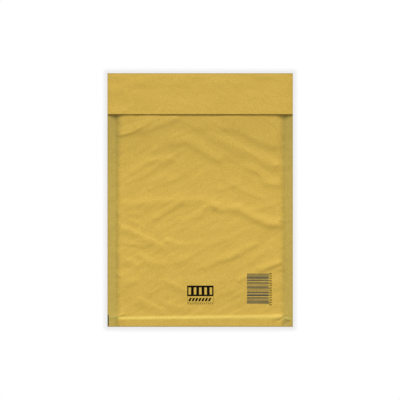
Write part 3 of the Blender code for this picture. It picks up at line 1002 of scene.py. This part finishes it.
def ink_material(name, color, worn):
    """Ink soaked into kraft: uneven, with a little of the paper showing through its fibres."""
    material, g = new_material(name)
    place = g.place()
    fibre = g.noise(place, *INK_FIBRE)
    cover = g.ramp(fibre, *INK_GAPS, 0.0, worn)
    tone = g.between(g.noise(place, *INK_PATCHES), *INK_TONE)
    shade = g.mix(cover, g.mix(1.0, color, tone, "MULTIPLY"), KRAFT)
    g.principled(
        Base_Color=shade,
        Roughness=g.between(fibre, *INK_ROUGHNESS),
        Normal=g.bump(fibre, *INK_BUMP),
        Specular_IOR_Level=0.02,
    )
    return material


# Film: its two colours, noises, roughness and bumps
FILM_CLEAR = (0.80, 0.84, 0.86, 1.0)
FILM_MILKY = (0.90, 0.92, 0.93, 1.0)
FILM_CRINKLE = (420.0, 4.0)
FILM_CLOUDS = (90.0, 3.0)
FILM_ROUGHNESS = (0.16, 0.34)
FILM_BUMP = (0.4, 0.0002)


def film_material():
    """Clear polyethylene, milky in patches, with fine crinkles."""
    material, g = new_material("clear_bubble_film")
    place = g.place()
    crinkle = g.noise(place, *FILM_CRINKLE)
    milky = g.between(g.noise(place, *FILM_CLOUDS))
    g.principled(
        Base_Color=g.mix(milky, FILM_CLEAR, FILM_MILKY),
        Roughness=g.between(crinkle, *FILM_ROUGHNESS),
        Normal=g.bump(crinkle, *FILM_BUMP),
        Transmission_Weight=0.55,
        IOR=1.5,
    )
    return material


# Adhesive: its two colours, noises, roughness and bumps
AMBER = (0.66, 0.55, 0.30, 1.0)
AMBER_PALE = (0.78, 0.69, 0.44, 1.0)
ADHESIVE_STREAKS = ((60.0, 900.0, 900.0), 4.0)
ADHESIVE_PITS = (1100.0, 2.0)
ADHESIVE_ROUGHNESS = (0.22, 0.42)
ADHESIVE_BUMP = (0.4, 0.00008)


def adhesive_material():
    """Tacky adhesive laid in a band: amber, with streaks along the band and small pits."""
    material, g = new_material("tacky_adhesive_band")
    place = g.place()
    streaks = g.grain(place, *ADHESIVE_STREAKS)
    pits = g.noise(place, *ADHESIVE_PITS)
    g.principled(
        Base_Color=g.mix(g.between(streaks), AMBER, AMBER_PALE),
        Roughness=g.between(pits, *ADHESIVE_ROUGHNESS),
        Normal=g.bump(g.math("ADD", streaks, pits), *ADHESIVE_BUMP),
        Coat_Weight=0.4,
        Coat_Roughness=0.2,
    )
    return material


# Release liner: its two colours, noise, roughness and bumps
LINER_DULL = (0.82, 0.81, 0.76, 1.0)
LINER_PALE = (0.89, 0.88, 0.84, 1.0)
LINER_FIBRE = ((400.0, 900.0, 900.0), 4.0)
LINER_ROUGHNESS = (0.32, 0.45)
LINER_BUMP = (0.2, 0.00003)


def liner_material():
    """White siliconed paper: smooth, with faint fibres."""
    material, g = new_material("white_release_paper")
    fibre = g.grain(g.place(), *LINER_FIBRE)
    g.principled(
        Base_Color=g.mix(g.between(fibre), LINER_DULL, LINER_PALE),
        Roughness=g.between(fibre, *LINER_ROUGHNESS),
        Normal=g.bump(fibre, *LINER_BUMP),
        Specular_IOR_Level=0.45,
    )
    return material


# The painted shadow on the floor beside the object, drawn from the distance to its outline's rectangle:
# between which distances it fades, and how dark it is at both
PAINTED_HALO = (0.0014, 0.0066, 0.165, 0.0)

# The shadow close under the object, drawn into the floor's glow from ambient occlusion: how far it looks for
# it, with how many rays, between which open shares it fades, and how dark it is at both
CONTACT_REACH = 0.0085
CONTACT_RAYS = 24
CONTACT = (0.0, 0.45, 0.6, 0.0)

# The floor: how bright it is in view, how much of that is its own light, its colour where it is lit, half its
# width, and how far it lies under the object
FLOOR_BRIGHT = 1.02
FLOOR_GLOW = 0.96
FLOOR_COLOR = (0.82, 0.82, 0.82, 1.0)
FLOOR_REACH = 2.0
FLOOR_DROP = 0.00005


def floor_material():
    """White, with a painted soft shadow beside the object and shade drawn from ambient occlusion close under
    it.
    """
    material, g = new_material("pale_floor")
    rays = g.node("ShaderNodeLightPath")
    contact = g.node("ShaderNodeAmbientOcclusion", {"Distance": CONTACT_REACH}, samples=CONTACT_RAYS)
    xyz = g.node("ShaderNodeSeparateXYZ", {"Vector": g.place()})
    past_side = g.math("SUBTRACT", g.math("ABSOLUTE", xyz.outputs["X"]), WIDTH / 2)
    past_end = g.math("SUBTRACT", g.math("ABSOLUTE", xyz.outputs["Y"]), TOP_EDGE)
    past_side = g.math("MAXIMUM", past_side, 0.0)
    past_end = g.math("MAXIMUM", past_end, 0.0)
    square = g.math("ADD", g.math("POWER", past_side, 2.0), g.math("POWER", past_end, 2.0))
    # Painted shadow beside the object
    painted_halo = g.ramp(g.math("SQRT", square), *PAINTED_HALO, "LINEAR")
    under = g.ramp(contact.outputs["AO"], *CONTACT, "LINEAR")
    bright = g.math("SUBTRACT", FLOOR_BRIGHT, g.math("MAXIMUM", painted_halo, under))
    seen = g.node("ShaderNodeEmission", {"Color": WHITE, "Strength": bright})
    lit = g.node("ShaderNodeBsdfDiffuse", {"Color": FLOOR_COLOR})
    direct = g.math("MAXIMUM", rays.outputs["Is Camera Ray"], rays.outputs["Is Glossy Ray"])
    direct = g.math("MAXIMUM", direct, rays.outputs["Is Transmission Ray"])
    share = g.math("MULTIPLY", direct, FLOOR_GLOW)
    mixed = g.node("ShaderNodeMixShader", {0: share, 1: lit.outputs["BSDF"], 2: seen.outputs["Emission"]})
    g.finish(mixed.outputs["Shader"])
    return material


def stage():
    """The floor that the object lies on."""
    bm = bmesh.new()
    bmesh.ops.create_grid(bm, x_segments=1, y_segments=1, size=FLOOR_REACH)
    mesh = bpy.data.meshes.new("floor")
    bm.to_mesh(mesh)
    bm.free()
    mesh.materials.append(floor_material())
    floor = bpy.data.objects.new("floor", mesh)
    floor.location.z = -FLOOR_DROP
    bpy.context.scene.collection.objects.link(floor)


# The key's height above the floor and its softness in degrees, how bright it makes a level white face, and
# the strength of the dome
KEY_ELEVATION = 38.0
KEY_SOFTNESS = 34.0
KEY_SHARE = 0.50
DOME = 0.40


def lights():
    """A broad key from the flap's end, and an even dome."""
    key = bpy.data.lights.new("key", "SUN")
    key.energy = KEY_SHARE * math.pi / math.sin(math.radians(KEY_ELEVATION))
    key.angle = math.radians(KEY_SOFTNESS)
    lamp = bpy.data.objects.new("key", key)
    lamp.rotation_euler = (-math.radians(90.0 - KEY_ELEVATION), 0.0, 0.0)
    bpy.context.scene.collection.objects.link(lamp)

    world = bpy.data.worlds.new("dome")
    bpy.context.scene.world = world
    world.use_nodes = True
    tree = world.node_tree
    tree.nodes.clear()
    rays = tree.nodes.new("ShaderNodeLightPath")
    strength = tree.nodes.new("ShaderNodeMapRange")
    strength.inputs["To Min"].default_value = DOME
    strength.inputs["To Max"].default_value = 1.0
    background = tree.nodes.new("ShaderNodeBackground")
    background.inputs["Color"].default_value = WHITE
    out = tree.nodes.new("ShaderNodeOutputWorld")
    tree.links.new(rays.outputs["Is Camera Ray"], strength.inputs["Value"])
    tree.links.new(strength.outputs["Result"], background.inputs["Strength"])
    tree.links.new(background.outputs["Background"], out.inputs["Surface"])


# The width that the camera sees, where it stands, and how near to it its view starts
VIEW_WIDTH = 0.4338
CAMERA_PLACE = (-0.00016, 0.0, 0.8)
VIEW_START = 0.01


def camera():
    """Looks straight down on the front, without perspective."""
    data = bpy.data.cameras.new("camera")
    data.type = "ORTHO"
    data.ortho_scale = VIEW_WIDTH
    data.clip_start = VIEW_START
    obj = bpy.data.objects.new("camera", data)
    obj.location = CAMERA_PLACE
    bpy.context.scene.collection.objects.link(obj)
    bpy.context.scene.camera = obj


def refinish(node, material):
    """Gives a solid that stays in view its finished material."""
    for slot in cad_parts[node].material_slots:
        slot.material = material


def build():
    camera()
    lights()
    stage()
    kraft_sheet(kraft_material())
    printing(
        ink_material("black_ink", *BLACK_INK),
        ink_material("blue_grey_ink", *BLUE_GREY_INK),
        ink_material("faint_ink", *FAINT_INK),
    )
    bubble_lining(film_material())
    refinish("adhesive_strip", adhesive_material())
    refinish("release_liner", liner_material())
    bpy.context.scene.view_settings.view_transform = "Standard"


build()
